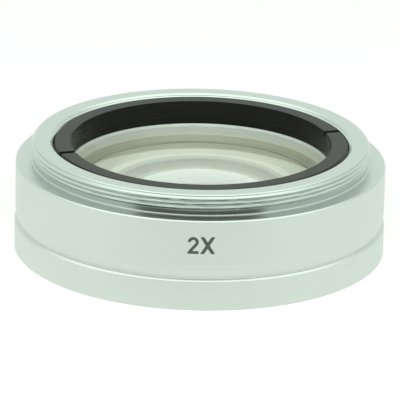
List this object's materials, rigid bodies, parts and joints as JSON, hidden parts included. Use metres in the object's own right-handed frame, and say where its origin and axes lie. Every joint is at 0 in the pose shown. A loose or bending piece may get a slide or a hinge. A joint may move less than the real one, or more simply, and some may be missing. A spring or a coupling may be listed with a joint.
{
  "type": "barlow lens",
  "caption": "Short screw-in auxiliary lens for a stereo microscope: turned aluminium barrel with a threaded neck, cemented lenses under a slotted black ring, and a screwed-on front cell.",
  "frame": {"origin": "middle of the base, on the optical axis", "axes": "+Z along the optical axis, out of the threaded neck towards the microscope; -Y towards the mark on the barrel"},
  "size_m": [0.0526, 0.0526, 0.016],
  "materials": {
    "aluminium": "turned, bead-blasted and clear anodised",
    "pale_aluminium": "fine turned, bare",
    "black_anodised": "black anodised, satin",
    "white_film": "matt acetal film",
    "crown_glass": "polished faces, ground edge",
    "flint_glass": "polished faces, ground edge"
  },
  "bodies": {
    "barrel": {"barrel": "aluminium", "rear_crown": "crown_glass", "rear_flint": "flint_glass"},
    "slip_washer": {"slip_washer": "white_film"},
    "retaining_ring": {"retaining_ring": "black_anodised"},
    "seam_shim": {"seam_shim": "pale_aluminium"},
    "front_cell": {"front_cell": "aluminium", "front_flint": "flint_glass", "front_crown": "crown_glass", "spacer_ring": "pale_aluminium"}
  },
  "joints": [
    {"name": "washer_lift", "type": "slide", "parent": "barrel", "child": "slip_washer", "axis": [0, 0, 1], "range_m": [0, 0.00333]},
    {"name": "ring_turn", "type": "hinge", "parent": "slip_washer", "child": "retaining_ring", "pos_m": [0, 0, 0.01405], "axis": [0, 0, 1], "range_deg": [0, 2400]},
    {"name": "shim_drop", "type": "slide", "parent": "barrel", "child": "seam_shim", "axis": [0, 0, -1], "range_m": [0, 0.003]},
    {"name": "cell_turn", "type": "hinge", "parent": "seam_shim", "child": "front_cell", "pos_m": [0, 0, 0.00228], "axis": [0, 0, -1], "range_deg": [0, 1440]}
  ],
  "couplings": [
    {"joint": "washer_lift", "follows": "ring_turn", "m_per_rad": 0.000079577},
    {"joint": "shim_drop", "follows": "cell_turn", "m_per_rad": 0.00011937}
  ]
}
